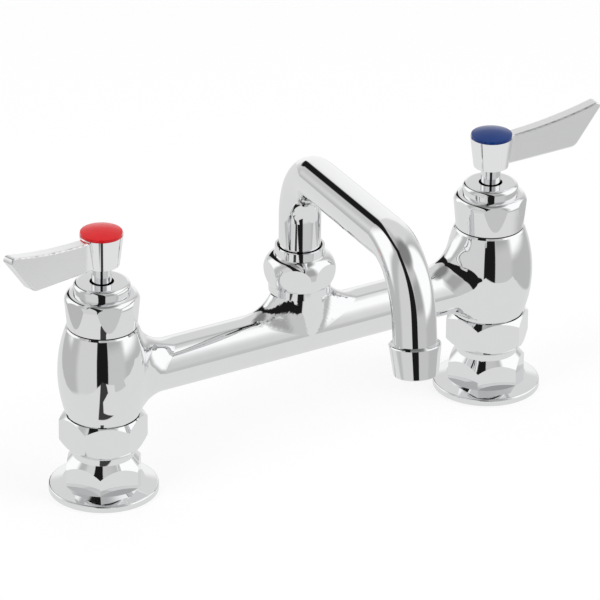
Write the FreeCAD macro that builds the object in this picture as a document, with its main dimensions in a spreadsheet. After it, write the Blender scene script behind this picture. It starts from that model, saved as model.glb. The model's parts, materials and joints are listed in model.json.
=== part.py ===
import FreeCAD, Part
import math
import os
import Sketcher

# Deck mount swing spout faucet on 8 inch centres, in millimetres.
# X runs along the row of valves with the hot side at -X, the user stands at -Y, Z is up.
# The origin is on the deck, midway between the two inlet flanges.

DRIVING_SIZES = [
    ("valve_centres", 203.2, "between the two valve axes, 8 in"),
    ("thread_clearance", 0.15, "radial gap of a screwed joint, drawn plain"),
    ("running_clearance", 0.05, "radial gap of a turning fit"),
    ("end_clearance", 0.1, "axial gap of a turning fit"),
    ("flange_dia", 49.4, "inlet flange that rests on the deck"),
    ("flange_rim", 3, "straight edge of the flange"),
    ("flange_edge_radius", 0.8, "round on the top edge of the flange"),
    ("flange_slope", 1.7, "rise from the rim to the inlet hexagon"),
    ("inlet_hex", 32, "across flats of the inlet hexagon"),
    ("inlet_hex_height", 7.9, "upright edge at the corners of the inlet hexagon"),
    ("inlet_cone_height", 5.1, "bevel from the hexagon up to the neck"),
    ("inlet_neck_dia", 28, "round neck under the coupling nut"),
    ("inlet_neck_show", 3.6, "height of neck left showing"),
    ("inlet_thread_dia", 18.3, "female half inch pipe thread, tapping size"),
    ("inlet_thread_depth", 15, "depth of the female thread"),
    ("inlet_bevel", 2.4, "height of the cone at the end of the thread"),
    ("inlet_water_dia", 13.5, "waterway of the hot and cold supply"),
    ("nut_hex", 34.4, "across flats of the coupling nut"),
    ("nut_height", 16.5, "height of the coupling nut"),
    ("nut_lip", 3, "thickness of the lip that holds the union collar"),
    ("nut_lip_clearance", 0.3, "radial gap between lip and neck"),
    ("nut_low_ring_dia", 31, "ring left by the lower bevel of the coupling nut"),
    ("nut_low_bevel", 4.15, "height of the lower bevel at the corners"),
    ("nut_top_ring_dia", 33.8, "ring left by the upper bevel of the coupling nut"),
    ("nut_top_bevel", 2.75, "height of the upper bevel at the corners"),
    ("nut_gap", 0.4, "gap between coupling nut and body"),
    ("union_collar", 3.2, "thickness of the collar that the nut pulls up"),
    ("union_collar_clearance", 0.3, "radial gap of the collar in the nut"),
    ("union_washer", 1.5, "thickness of the union washer"),
    ("spigot_dia", 30.6, "screwed foot of the body inside the coupling nut"),
    ("foot_dia", 32.8, "plain ring of the body above the coupling nut"),
    ("foot_height", 1.4, "height of that ring"),
    ("barrel_low_dia", 34.6, "barrel just above the ring"),
    ("barrel_low_bevel", 0.4, "height of the bevel from ring to barrel"),
    ("barrel_belly_dia", 40.2, "barrel at its widest"),
    ("barrel_height", 40.2, "from the lower end of the barrel to its upper edge"),
    ("barrel_top_dia", 32.6, "barrel at its upper edge"),
    ("barrel_top_bevel", 0.7, "bevel of the upper edge"),
    ("pipe_dia", 23.2, "bridge pipe between the barrels"),
    ("pipe_rise", 13.8, "pipe axis above the lower end of the barrels"),
    ("pipe_water_dia", 17, "waterway of the bridge pipe"),
    ("barrel_blend", 20, "hollow blend from pipe to barrel"),
    ("neck_inset", 0.15, "spout neck narrower than the pipe, per side"),
    ("neck_thread_dia", 22.6, "screwed top of the spout neck, inside its nut"),
    ("neck_blend", 18, "hollow blend from pipe to spout neck"),
    ("neck_height", 28.2, "from the pipe axis to the top of the spout neck"),
    ("neck_water_dia", 16, "waterway from the pipe up into the neck"),
    ("neck_floor", 10.2, "from the pipe axis to the floor of the spout socket"),
    ("seat_rise", 6.2, "valve seat above the pipe axis"),
    ("seat_wall", 2.75, "wall of the seat post"),
    ("gallery_drop", 7.8, "floor of the ring gallery below the pipe axis"),
    ("gallery_rise", 7.2, "roof of the ring gallery above the pipe axis"),
    ("gallery_dia", 29, "outside of the ring gallery"),
    ("gallery_slope", 1.5, "slope of the gallery roof"),
    ("chamber_dia", 23, "valve chamber"),
    ("chamber_step", 17.2, "cartridge step above the pipe axis"),
    ("bonnet_thread_dia", 25.8, "male thread of the bonnet"),
    ("gasket_thickness", 0.6, "bonnet gasket"),
    ("gasket_dia", 30.4, "outside of the bonnet gasket"),
    ("bonnet_low_dia", 31.2, "bonnet at its lower edge"),
    ("bonnet_dia", 33.5, "bonnet at its widest"),
    ("bonnet_hex", 31.7, "across flats of the bonnet"),
    ("bonnet_band", 1.7, "round band under the flats"),
    ("bonnet_height", 12.5, "from the lower edge to the shoulder"),
    ("bonnet_shoulder", 3.4, "height of the rounded shoulder"),
    ("bonnet_shoulder_radius", 3.7, "profile of the shoulder"),
    ("cap_dia", 25.6, "stepped cap of the bonnet"),
    ("cap_height", 5.1, "height of the cap"),
    ("cap_edge_radius", 2.3, "round on the cap's edge"),
    ("bonnet_roof", 5, "thickness of the bonnet over the cartridge"),
    ("stem_hole_dia", 10.9, "hole in the bonnet round the stem"),
    ("cartridge_dia", 18.4, "brass cartridge"),
    ("cartridge_clearance", 0.8, "radial gap between cartridge and bonnet"),
    ("cartridge_flange_dia", 25.2, "flange that the bonnet clamps"),
    ("cartridge_flange", 4, "thickness of that flange"),
    ("cartridge_ring_depth", 1.4, "depth of the groove for the cartridge ring"),
    ("cartridge_ring_groove", 2, "width of that groove"),
    ("cartridge_ring_section", 1.7, "section of the cartridge ring"),
    ("cartridge_bore", 16, "disc chamber of the cartridge"),
    ("cartridge_bore_height", 14, "height of the disc chamber"),
    ("cartridge_height", 29.5, "height of the cartridge"),
    ("window_dia", 3, "side windows of the cartridge"),
    ("window_level", 6.7, "side windows above the foot of the cartridge"),
    ("seat_seal", 2.5, "thickness of the rubber seat seal"),
    ("disc_clearance", 0.1, "radial gap of the ceramic discs"),
    ("disc_film", 0.02, "gap between the two lapped discs"),
    ("disc_thickness", 2.5, "thickness of one ceramic disc"),
    ("disc_port_dia", 4.4, "ports through the ceramic discs"),
    ("disc_port_offset", 4, "ports from the middle of the disc"),
    ("stem_dia", 9, "valve stem"),
    ("stem_plate_dia", 12, "plate of the stem that drives the disc"),
    ("stem_ring_level", 7.5, "stem ring above the disc chamber"),
    ("stem_ring_section", 1.3, "section of the stem ring"),
    ("stem_ring_groove", 2, "width of the groove for the stem ring"),
    ("clip_dia", 12, "outside of the stem clip"),
    ("clip_thickness", 0.9, "thickness of the stem clip"),
    ("clip_groove_depth", 0.7, "depth of the groove for the stem clip"),
    ("clip_opening", 6, "mouth of the stem clip"),
    ("drive_square", 6.4, "square on the stem under the handle"),
    ("drive_height", 5.6, "height of the square"),
    ("drive_recess", 1, "round recess under the square socket"),
    ("screw_dia", 3.9, "handle screw"),
    ("screw_length", 13.6, "shank of the handle screw"),
    ("screw_hole_extra", 2, "tapped hole deeper than the screw"),
    ("screw_head_dia", 7.2, "head of the handle screw"),
    ("screw_head_height", 2.4, "height of the screw head"),
    ("screw_slot", 1.2, "slot in the screw head"),
    ("screw_slot_depth", 1.1, "depth of the slot"),
    ("handle_gap", 8.4, "stem showing between bonnet and handle"),
    ("hub_low_dia", 16, "lever hub at its lower end"),
    ("hub_dia", 19.6, "lever hub at its rim"),
    ("hub_height", 14.5, "height of the lever hub"),
    ("hub_web", 2, "floor that the handle screw clamps"),
    ("hub_well_dia", 10, "well for the screw head"),
    ("button_spigot_dia", 15.8, "spigot of the index button"),
    ("button_spigot", 2.9, "depth of that spigot"),
    ("button_dia", 18.7, "index button"),
    ("button_edge", 1.2, "straight edge of the button"),
    ("button_dome", 1.5, "height of the button's dome"),
    ("lever_reach", 55.5, "lever tip from the valve axis"),
    ("lever_rise", 7, "lever tip above the hub rim"),
    ("lever_top_radius", 220, "hollow curve along the top of the lever"),
    ("lever_top_drop", 0.6, "top of the lever below the hub rim, inside the hub"),
    ("lever_nose_radius", 2.4, "round at the tip of the lever"),
    ("lever_end_angle", 53.5, "slant of the lever's end in degrees"),
    ("lever_foot_lift", 1.6, "lower corner above the foot of the hub"),
    ("lever_foot_round", 2.4, "from the lower corner to the ends of its round"),
    ("lever_thickness", 6, "thickness of the lever blade"),
    ("lever_edge_radius", 0.8, "round along the edges of the blade"),
    ("tube_dia", 19.05, "spout tube, 3/4 in"),
    ("tube_wall", 1.5, "wall of the spout tube"),
    ("spout_reach", 152.4, "outlet from the swivel axis, 6 in"),
    ("spout_corner", 134.6, "riser and run meet at this height above the deck"),
    ("spout_slope", 8.4, "rise of the run in degrees"),
    ("spout_bend", 28.6, "centre line radius of both bends"),
    ("outlet_height", 104.4, "outlet face above the deck"),
    ("spout_turn", 12.3, "spout swung to the hot side, in degrees"),
    ("nut_foot_dia", 28.1, "lower collar of the spout nut"),
    ("nut_foot_height", 3.5, "height of the lower collar"),
    ("spout_nut_low", 20.2, "spout nut above the pipe axis"),
    ("spout_nut_dia", 32.6, "spout nut at its widest"),
    ("spout_nut_hex", 29.4, "across flats of the spout nut"),
    ("spout_nut_widest", 11, "widest part above the nut's foot"),
    ("spout_nut_shoulder", 17.6, "upper collar above the nut's foot"),
    ("spout_nut_height", 21.7, "height of the spout nut"),
    ("spout_nut_low_radius", 12, "lower curve of the bulge"),
    ("spout_nut_top_radius", 8, "upper curve of the bulge"),
    ("nut_head_dia", 22.5, "upper collar of the spout nut"),
    ("nut_shoulder_dia", 23.6, "bulge where it meets the upper collar"),
    ("nut_mouth_clearance", 0.7, "radial gap between tube and spout nut"),
    ("swivel_washer", 1, "thickness of the nylon swivel washer"),
    ("swivel_collar_dia", 22.4, "collar that the spout nut holds down"),
    ("swivel_collar", 5.4, "height of that collar"),
    ("swivel_dia", 19.8, "journal of the spout swivel"),
    ("swivel_depth", 17.5, "journal below the top of the spout neck"),
    ("swivel_bore", 14.8, "waterway of the swivel"),
    ("swivel_ring_section", 1.5, "section of the swivel rings"),
    ("swivel_ring_groove", 2.2, "width of the grooves for the swivel rings"),
    ("swivel_ring_low", 4, "lower swivel ring above the foot of the journal"),
    ("swivel_ring_spacing", 6, "between the two swivel rings"),
    ("tube_socket", 7.5, "depth of the tube in the swivel"),
    ("tip_height", 14, "outlet tip along its axis"),
    ("tip_low_dia", 19.3, "outlet tip at the outlet"),
    ("tip_low_bevel", 0.4, "bevel at the outlet"),
    ("tip_dia", 22.5, "outlet tip at its rim"),
    ("tip_rim", 0.4, "bevel of the rim"),
    ("tip_funnel", 1.2, "depth of the funnel round the tube"),
    ("tip_socket", 7, "end of the tube above the outlet face"),
    ("tip_bore", 16.4, "bore of the outlet"),
    ("straightener_inset", 1.2, "stream straightener above the outlet face"),
    ("straightener_height", 4, "height of the stream straightener"),
    ("straightener_hole", 3.2, "holes of the stream straightener"),
    ("straightener_circle", 10, "circle of its outer holes"),
    ("washer_hole_dia", 12, "hole of the outlet washer"),
    ("hot_lever_turn", 193.9, "hot lever, in degrees from +X"),
    ("cold_lever_turn", -3.6, "cold lever, in degrees from +X"),
    ("hot_nut_turn", 6.5, "flat of the hot coupling nut, in degrees from +X"),
    ("cold_nut_turn", 14.6, "flat of the cold coupling nut, in degrees"),
    ("hot_inlet_turn", 26.1, "flat of the hot inlet hexagon, in degrees"),
    ("cold_inlet_turn", 15.1, "flat of the cold inlet hexagon, in degrees"),
    ("hot_bonnet_turn", 12.6, "flat of the hot bonnet, in degrees"),
    ("cold_bonnet_turn", 6.6, "flat of the cold bonnet, in degrees"),
    ("spout_nut_turn", 51.6, "flat of the spout nut, in degrees"),
]


class Size:
    """A size that carries its number and the sheet expression behind it."""

    def __init__(self, text, value):
        self.text = text
        self.value = value

    def __add__(self, other):
        other = as_size(other)
        return Size(f"({self.text} + {other.text})", self.value + other.value)

    def __radd__(self, other):
        return as_size(other) + self

    def __sub__(self, other):
        other = as_size(other)
        return Size(f"({self.text} - {other.text})", self.value - other.value)

    def __rsub__(self, other):
        return as_size(other) - self

    def __mul__(self, other):
        other = as_size(other)
        return Size(f"({self.text} * {other.text})", self.value * other.value)

    def __rmul__(self, other):
        return as_size(other) * self

    def __truediv__(self, other):
        other = as_size(other)
        return Size(f"({self.text} / {other.text})", self.value / other.value)

    def __neg__(self):
        return as_size(0) - self

    def sine(self):
        return Size(f"sin({self.text})", math.sin(math.radians(self.value)))

    def cosine(self):
        return Size(f"cos({self.text})", math.cos(math.radians(self.value)))

    def tangent(self):
        return Size(f"tan({self.text})", math.tan(math.radians(self.value)))


def as_size(thing):
    """A plain number becomes a size of that number."""
    return thing if isinstance(thing, Size) else Size(str(float(thing)), float(thing))


class Sizes:
    """The driving sizes as attributes."""


def write_sheet(doc):
    """The driving sizes, one row each, with an alias for every value."""
    sheet = doc.addObject("Spreadsheet::Sheet", "Sizes")
    named = Sizes()
    for row, (alias, value, note) in enumerate(DRIVING_SIZES, start=1):
        sheet.set(f"A{row}", alias)
        sheet.set(f"B{row}", str(value))
        sheet.setAlias(f"B{row}", alias)
        sheet.set(f"C{row}", note)
        setattr(named, alias, Size(f"Sizes.{alias}", float(value)))
    doc.recompute()
    return named


doc = FreeCAD.newDocument("swing_spout_faucet")
size = write_sheet(doc)
HEX_CORNER = 1 / math.sqrt(3)

# Levels above the deck, from the flange up to the handle.
flange_crown = size.flange_rim + size.flange_slope
inlet_hex_top = flange_crown + size.inlet_hex_height
inlet_neck_low = inlet_hex_top + size.inlet_cone_height
nut_low = inlet_neck_low + size.inlet_neck_show
nut_top = nut_low + size.nut_height
union_low = nut_low + size.nut_lip
union_top = union_low + size.union_collar
spigot_low = union_top + size.union_washer
foot_low = nut_top + size.nut_gap
foot_top = foot_low + size.foot_height
barrel_low = foot_top + size.barrel_low_bevel
barrel_edge = barrel_low + size.barrel_height
barrel_top = barrel_edge + size.barrel_top_bevel
pipe_level = barrel_low + size.pipe_rise
seat = pipe_level + size.seat_rise
cartridge_low = seat + size.seat_seal
cartridge_step = pipe_level + size.chamber_step
cartridge_clamp = cartridge_step + size.cartridge_flange
bore_roof = cartridge_low + size.cartridge_bore_height
cartridge_top = cartridge_low + size.cartridge_height
moving_disc_low = cartridge_low + size.disc_thickness + size.disc_film
stem_low = moving_disc_low + size.disc_thickness + size.disc_film
bonnet_low = barrel_top + size.gasket_thickness
bonnet_shoulder_low = bonnet_low + size.bonnet_height
cap_low = bonnet_shoulder_low + size.bonnet_shoulder
bonnet_top = cap_low + size.cap_height
hub_low = bonnet_top + size.handle_gap
hub_top = hub_low + size.hub_height
drive_low = hub_low + size.drive_recess
drive_top = drive_low + size.drive_height
web_low = drive_top + size.end_clearance
web_top = web_low + size.hub_web
screw_low = web_top - size.screw_length
neck_top = pipe_level + size.neck_height
collar_low = neck_top + size.swivel_washer + size.end_clearance
collar_top = collar_low + size.swivel_collar
spout_nut_low = pipe_level + size.spout_nut_low
lip_low = collar_top + size.end_clearance
journal_low = neck_top - size.swivel_depth
tube_tail = collar_top - size.tube_socket

# Radii that fits share.
pipe_radius = size.pipe_dia / 2
neck_radius = size.neck_thread_dia / 2
nut_bore = size.spigot_dia / 2 + size.thread_clearance
bonnet_bore = size.bonnet_thread_dia / 2 + size.thread_clearance
swivel_socket = size.swivel_dia / 2 + size.running_clearance
tube_radius = size.tube_dia / 2
tube_seat = tube_radius + size.running_clearance
stem_radius = size.stem_dia / 2
stem_bore = stem_radius + size.running_clearance
cartridge_radius = size.cartridge_dia / 2
button_bore = size.button_spigot_dia / 2 + size.running_clearance
valve_offset = size.valve_centres / 2
SIDES = {"hot": -1, "cold": 1}


def new_body(label):
    """An empty sub-part whose label names its file."""
    body = doc.addObject("PartDesign::Body", label)
    body.Label = label
    return body


def place(body, across=None, turn=None):
    """Move a sub-part along the row and turn it about its upright axis."""
    body.Placement = FreeCAD.Placement(FreeCAD.Vector(), FreeCAD.Rotation(FreeCAD.Vector(0, 0, 1), 1))
    body.setExpression("Placement.Base.x", as_size(across or 0).text)
    body.setExpression("Placement.Rotation.Angle", as_size(turn or 0).text)


def new_sketch(body, name, role="XZ_Plane", lift=None):
    """A sketch on one of the sub-part's own planes, lifted along the plane's normal."""
    plane = next(feature for feature in body.Origin.OriginFeatures if feature.Role == role)
    sketch = body.newObject("Sketcher::SketchObject", name)
    sketch.AttachmentSupport = (plane, [""])
    sketch.MapMode = "FlatFace"
    if lift is not None:
        sketch.setExpression("AttachmentOffset.Base.z", as_size(lift).text)
    return sketch


def tie(sketch, kind, place_in_sketch, value):
    """Add one dimension and bind it to the sheet when it is more than a plain number."""
    index = sketch.addConstraint(Sketcher.Constraint(kind, *place_in_sketch, as_size(value).value))
    if isinstance(value, Size):
        sketch.setExpression(f"Constraints[{index}]", value.text)


def arc_between(start, end, radius, turn):
    """The shorter arc from start to end; turn is 1 anticlockwise and -1 clockwise."""
    chord = end - start
    half = chord.Length / 2
    reach = math.sqrt(max(radius * radius - half * half, 0))
    left = FreeCAD.Vector(-chord.y, chord.x, 0).normalize()
    centre = (start + end) / 2 + left * reach * turn
    first, last = (start, end) if turn > 0 else (end, start)
    angles = [math.atan2(point.y - centre.y, point.x - centre.x) for point in (first, last)]
    if angles[1] <= angles[0]:
        angles[1] += 2 * math.pi
    circle = Part.Circle(centre, FreeCAD.Vector(0, 0, 1), radius)
    return Part.ArcOfCircle(circle, angles[0], angles[1])


def draw(sketch, points, closed=True):
    """Draw a line of straight stretches and arcs whose points are tied to the sheet.

    A point is (across, up), or (across, up, radius, turn) where an arc leaves it for the next point.
    """
    spots = [FreeCAD.Vector(as_size(p[0]).value, as_size(p[1]).value, 0) for p in points]
    count = len(points) if closed else len(points) - 1
    ends = []
    for index in range(count):
        start = spots[index]
        end = spots[(index + 1) % len(points)]
        if len(points[index]) == 2:
            sketch.addGeometry(Part.LineSegment(start, end))
            ends.append((1, 2))
        else:
            radius, turn = points[index][2:]
            sketch.addGeometry(arc_between(start, end, as_size(radius).value, turn))
            ends.append((1, 2) if turn > 0 else (2, 1))
    joins = count if closed else count - 1
    for index in range(joins):
        after = (index + 1) % count
        join = Sketcher.Constraint("Coincident", index, ends[index][1], after, ends[after][0])
        sketch.addConstraint(join)
    for index, point in enumerate(points):
        geometry, end = (index, 0) if index < count else (index - 1, 1)
        tie(sketch, "DistanceX", (geometry, ends[geometry][end]), point[0])
        tie(sketch, "DistanceY", (geometry, ends[geometry][end]), point[1])
        if len(point) > 2:
            tie(sketch, "Radius", (geometry,), point[2])


def draw_circle(sketch, radius, across=0, up=0):
    """A circle tied to the sheet."""
    centre = FreeCAD.Vector(as_size(across).value, as_size(up).value, 0)
    circle = Part.Circle(centre, FreeCAD.Vector(0, 0, 1), as_size(radius).value)
    index = sketch.addGeometry(circle)
    tie(sketch, "DistanceX", (index, 3), across)
    tie(sketch, "DistanceY", (index, 3), up)
    tie(sketch, "Radius", (index,), radius)


def revolve(body, name, sketch, kind="PartDesign::Revolution", axis="V_Axis"):
    """Turn a sketch once round an axis of its own, adding material or cutting it away."""
    feature = body.newObject(kind, name)
    feature.Profile = sketch
    feature.ReferenceAxis = (sketch, [axis])
    feature.Angle = 360


def turned(body, name, points, kind="PartDesign::Revolution", across=None):
    """Revolve an outline of (radius, level) points about an upright axis, or cut it away as a groove."""
    sketch = new_sketch(body, f"{name}_outline", "YZ_Plane", across)
    draw(sketch, points)
    revolve(body, name, sketch, kind)


def round_section(body, name, outer, section, level):
    """A ring of round section up to an outer radius."""
    sketch = new_sketch(body, f"{name}_outline")
    draw_circle(sketch, section / 2, outer - section / 2, level)
    revolve(body, name, sketch)


def turned_body(label, points, across=None, turn=None):
    """A sub-part made by one revolve and put in its place."""
    body = new_body(label)
    turned(body, f"{label}_turning", points)
    place(body, across, turn)
    return body


def cut(body, name, sketch, length, upward=True, midplane=False):
    """Cut a sketch away over a length; raise if nothing was removed."""
    doc.recompute()
    before = body.Shape.Volume
    pocket = body.newObject("PartDesign::Pocket", name)
    pocket.Profile = sketch
    pocket.Type = "Length"
    pocket.setExpression("Length", as_size(length).text)
    pocket.Reversed = upward
    pocket.Midplane = midplane
    doc.recompute()
    if not body.Shape.Volume < before:
        raise RuntimeError(f"{name} removes nothing")
    return pocket


def cut_flats(body, name, sides, across_flats, outside, low, height):
    """Mill flats round a turned piece, leaving what lies inside the polygon."""
    sketch = new_sketch(body, f"{name}_outline", "XY_Plane", low)
    corner = across_flats / (2 * math.cos(math.pi / sides))
    step = 2 * math.pi / sides
    polygon = []
    for index in range(sides):
        angle = (index + 0.5) * step
        polygon.append((corner * math.cos(angle), corner * math.sin(angle)))
    draw(sketch, polygon)
    draw_circle(sketch, outside)
    return cut(body, name, sketch, height)


def drill(body, name, radius, low, height, spots):
    """Upright holes of one radius at the given spots."""
    sketch = new_sketch(body, f"{name}_outline", "XY_Plane", low)
    for across, deep in spots:
        draw_circle(sketch, radius, across, deep)
    return cut(body, name, sketch, height)


def blend_edges(body, feature_name, radius, wanted):
    """Round the edges of a sub-part that the test picks."""
    doc.recompute()
    base = body.Tip
    names = []
    for index, edge in enumerate(base.Shape.Edges, start=1):
        if wanted(base.Shape, edge):
            names.append(f"Edge{index}")
    fillet = body.newObject("PartDesign::Fillet", feature_name)
    fillet.Base = (base, names)
    fillet.setExpression("Radius", radius.text)
    return fillet


def bridge_body():
    """The casting: two barrels, the pipe between them and the neck of the spout."""
    body = new_body("bridge_body")
    pipe_sketch = new_sketch(body, "pipe_outline", "YZ_Plane")
    draw_circle(pipe_sketch, pipe_radius, 0, pipe_level)
    pipe = body.newObject("PartDesign::Pad", "bridge_pipe")
    pipe.Profile = pipe_sketch
    pipe.Midplane = True
    pipe.setExpression("Length", size.valve_centres.text)

    low_radius = size.barrel_low_dia / 2
    edge_radius = size.barrel_top_dia / 2
    bulge = size.barrel_belly_dia / 2 - (low_radius + edge_radius) / 2
    half_height = size.barrel_height / 2
    belly_radius = (half_height * half_height + bulge * bulge) / (2 * bulge)
    blend_low = spigot_low - size.barrel_blend
    barrel = [
        (0, blend_low),
        (low_radius, blend_low),
        (low_radius, barrel_low, belly_radius, 1),
        (edge_radius, barrel_edge),
        (edge_radius - size.barrel_top_bevel, barrel_top),
        (0, barrel_top),
    ]
    for side, sign in SIDES.items():
        turned(body, f"{side}_barrel", barrel, across=valve_offset * sign)
    neck = pipe_radius - size.neck_inset
    blend_top = pipe_level + pipe_radius + 2 * size.neck_blend
    turned(body, "spout_neck", [(0, pipe_level), (neck, pipe_level), (neck, blend_top), (0, blend_top)])

    def on_pipe(shape, edge):
        faces = shape.ancestorsOfType(edge, Part.Face)
        surfaces = [face.Surface for face in faces]
        along = [isinstance(surface, Part.Cylinder) and abs(surface.Axis.x) > 0.9 for surface in surfaces]
        return sum(along) == 1

    halfway = valve_offset.value / 2
    blend_edges(body, "barrel_blends", size.barrel_blend,
                lambda shape, edge: on_pipe(shape, edge) and abs(edge.CenterOfMass.x) > halfway)
    blend_edges(body, "neck_blend", size.neck_blend,
                lambda shape, edge: on_pipe(shape, edge) and edge.BoundBox.Center.Length < neck_top.value
                and abs(edge.BoundBox.Center.x) < neck.value / 2
                and edge.BoundBox.XLength < 2.2 * neck.value)

    clear = size.nut_hex
    foot_radius = size.foot_dia / 2
    spigot_radius = size.spigot_dia / 2
    trimming = [
        (0, blend_low),
        (clear, blend_low),
        (clear, foot_top),
        (low_radius, barrel_low),
        (foot_radius, foot_top),
        (foot_radius, foot_low),
        (spigot_radius, foot_low),
        (spigot_radius, spigot_low),
        (0, spigot_low),
    ]
    thread_low = spout_nut_low - size.nut_gap
    turned(body, "neck_thread", [
        (neck_radius, thread_low),
        (clear, thread_low),
        (clear, blend_top),
        (0, blend_top),
        (0, neck_top),
        (neck_radius, neck_top),
    ], "PartDesign::Groove")
    water = size.inlet_water_dia / 2
    post = water + size.seat_wall
    gallery = size.gallery_dia / 2
    chamber = size.chamber_dia / 2
    waterway = [
        (0, spigot_low),
        (water, spigot_low),
        (water, seat),
        (post, seat),
        (post, pipe_level - size.gallery_drop),
        (gallery, pipe_level - size.gallery_drop),
        (gallery, pipe_level + size.gallery_rise),
        (chamber, pipe_level + size.gallery_rise + size.gallery_slope),
        (chamber, cartridge_step),
        (bonnet_bore, cartridge_step),
        (bonnet_bore, barrel_top),
        (0, barrel_top),
    ]
    for side, sign in SIDES.items():
        turned(body, f"{side}_foot", trimming, "PartDesign::Groove", valve_offset * sign)
        turned(body, f"{side}_chamber", waterway, "PartDesign::Groove", valve_offset * sign)
    neck_water = size.neck_water_dia / 2
    socket = [
        (0, pipe_level),
        (neck_water, pipe_level),
        (neck_water, pipe_level + size.neck_floor),
        (swivel_socket, pipe_level + size.neck_floor),
        (swivel_socket, neck_top),
        (0, neck_top),
    ]
    turned(body, "spout_socket", socket, "PartDesign::Groove")
    water_sketch = new_sketch(body, "pipe_water_outline", "YZ_Plane")
    draw_circle(water_sketch, size.pipe_water_dia / 2, 0, pipe_level)
    cut(body, "pipe_water", water_sketch, size.valve_centres - gallery - post, midplane=True)


def inlet_flange(side, across, turn):
    """Flange, hexagon and tail piece of one inlet, with a female pipe thread below."""
    thread = size.inlet_thread_dia / 2
    water = size.inlet_water_dia / 2
    rim = size.flange_dia / 2
    corner = size.inlet_hex * HEX_CORNER
    neck = size.inlet_neck_dia / 2
    collar = nut_bore - size.union_collar_clearance
    body = turned_body(f"{side}_inlet_flange", [
        (thread, 0),
        (rim, 0),
        (rim, size.flange_rim - size.flange_edge_radius, size.flange_edge_radius, 1),
        (rim - size.flange_edge_radius, size.flange_rim),
        (corner, flange_crown),
        (corner, inlet_hex_top),
        (neck, inlet_neck_low),
        (neck, union_low),
        (collar, union_low),
        (collar, union_top),
        (water, union_top),
        (water, size.inlet_thread_depth + size.inlet_bevel),
        (thread, size.inlet_thread_depth),
    ], across, turn)
    cut_flats(body, f"{side}_inlet_flats", 6, size.inlet_hex, rim, flange_crown,
              inlet_neck_low - flange_crown)


def coupling_nut(side, across, turn):
    """Hexagon nut with bevelled ends that pulls the inlet up to the body."""
    corner = size.nut_hex * HEX_CORNER
    lip = size.inlet_neck_dia / 2 + size.nut_lip_clearance
    body = turned_body(f"{side}_coupling_nut", [
        (lip, nut_low),
        (size.nut_low_ring_dia / 2, nut_low),
        (corner, nut_low + size.nut_low_bevel),
        (corner, nut_top - size.nut_top_bevel),
        (size.nut_top_ring_dia / 2, nut_top),
        (nut_bore, nut_top),
        (nut_bore, union_low),
        (lip, union_low),
    ], across, turn)
    cut_flats(body, f"{side}_coupling_flats", 6, size.nut_hex, size.nut_hex, nut_low, size.nut_height)


def flat_ring(label, inner, outer, low, thickness, across=None):
    """A washer, gasket or seal with square edges."""
    return turned_body(label, [
        (inner, low),
        (outer, low),
        (outer, low + thickness),
        (inner, low + thickness),
    ], across)


def bonnet(side, across, turn):
    """Bonnet with six flats, a rounded shoulder and a stepped cap."""
    thread = size.bonnet_thread_dia / 2
    widest = size.bonnet_dia / 2
    cap = size.cap_dia / 2
    bore = cartridge_radius + size.cartridge_clearance
    hole = size.stem_hole_dia / 2
    body = turned_body(f"{side}_bonnet", [
        (bore, cartridge_clamp),
        (thread, cartridge_clamp),
        (thread, bonnet_low),
        (size.bonnet_low_dia / 2, bonnet_low),
        (widest, bonnet_shoulder_low, size.bonnet_shoulder_radius, 1),
        (cap, cap_low),
        (cap, bonnet_top - size.cap_edge_radius, size.cap_edge_radius, 1),
        (cap - size.cap_edge_radius, bonnet_top),
        (hole, bonnet_top),
        (hole, bonnet_top - size.bonnet_roof),
        (bore, bonnet_top - size.bonnet_roof),
    ], across, turn)
    flats_low = bonnet_low + size.bonnet_band
    cut_flats(body, f"{side}_bonnet_flats", 6, size.bonnet_hex, size.bonnet_dia, flats_low,
              cap_low - flats_low)


def cartridge_body(side, across):
    """Brass cartridge that holds the discs and guides the stem."""
    flange = size.cartridge_flange_dia / 2
    groove = flange - size.cartridge_ring_depth
    groove_low = cartridge_step + (size.cartridge_flange - size.cartridge_ring_groove) / 2
    groove_top = groove_low + size.cartridge_ring_groove
    bore = size.cartridge_bore / 2
    body = turned_body(f"{side}_cartridge_body", [
        (bore, cartridge_low),
        (cartridge_radius, cartridge_low),
        (cartridge_radius, cartridge_step),
        (flange, cartridge_step),
        (flange, groove_low),
        (groove, groove_low),
        (groove, groove_top),
        (flange, groove_top),
        (flange, cartridge_clamp),
        (cartridge_radius, cartridge_clamp),
        (cartridge_radius, cartridge_top),
        (stem_bore, cartridge_top),
        (stem_bore, bore_roof),
        (bore, bore_roof),
    ], across)
    window_level = cartridge_low + size.window_level
    for role in ("XZ_Plane", "YZ_Plane"):
        sketch = new_sketch(body, f"{side}_{role}_window", role)
        draw_circle(sketch, size.window_dia / 2, 0, window_level)
        cut(body, f"{side}_{role}_windows", sketch, size.cartridge_flange_dia, midplane=True)


def round_ring(label, outer, section, level, across, turn=None):
    """An O-ring that fills a groove up to its outer radius."""
    body = new_body(label)
    round_section(body, f"{label}_moulding", outer, section, level)
    place(body, across, turn)


def ceramic_disc(label, radius, low, across, turn=None):
    """Lapped disc with two ports."""
    body = turned_body(label, [
        (0, low),
        (radius, low),
        (radius, low + size.disc_thickness),
        (0, low + size.disc_thickness),
    ], across, turn)
    spots = [(size.disc_port_offset, 0), (-size.disc_port_offset, 0)]
    drill(body, f"{label}_ports", size.disc_port_dia / 2, low, size.disc_thickness, spots)


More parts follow.
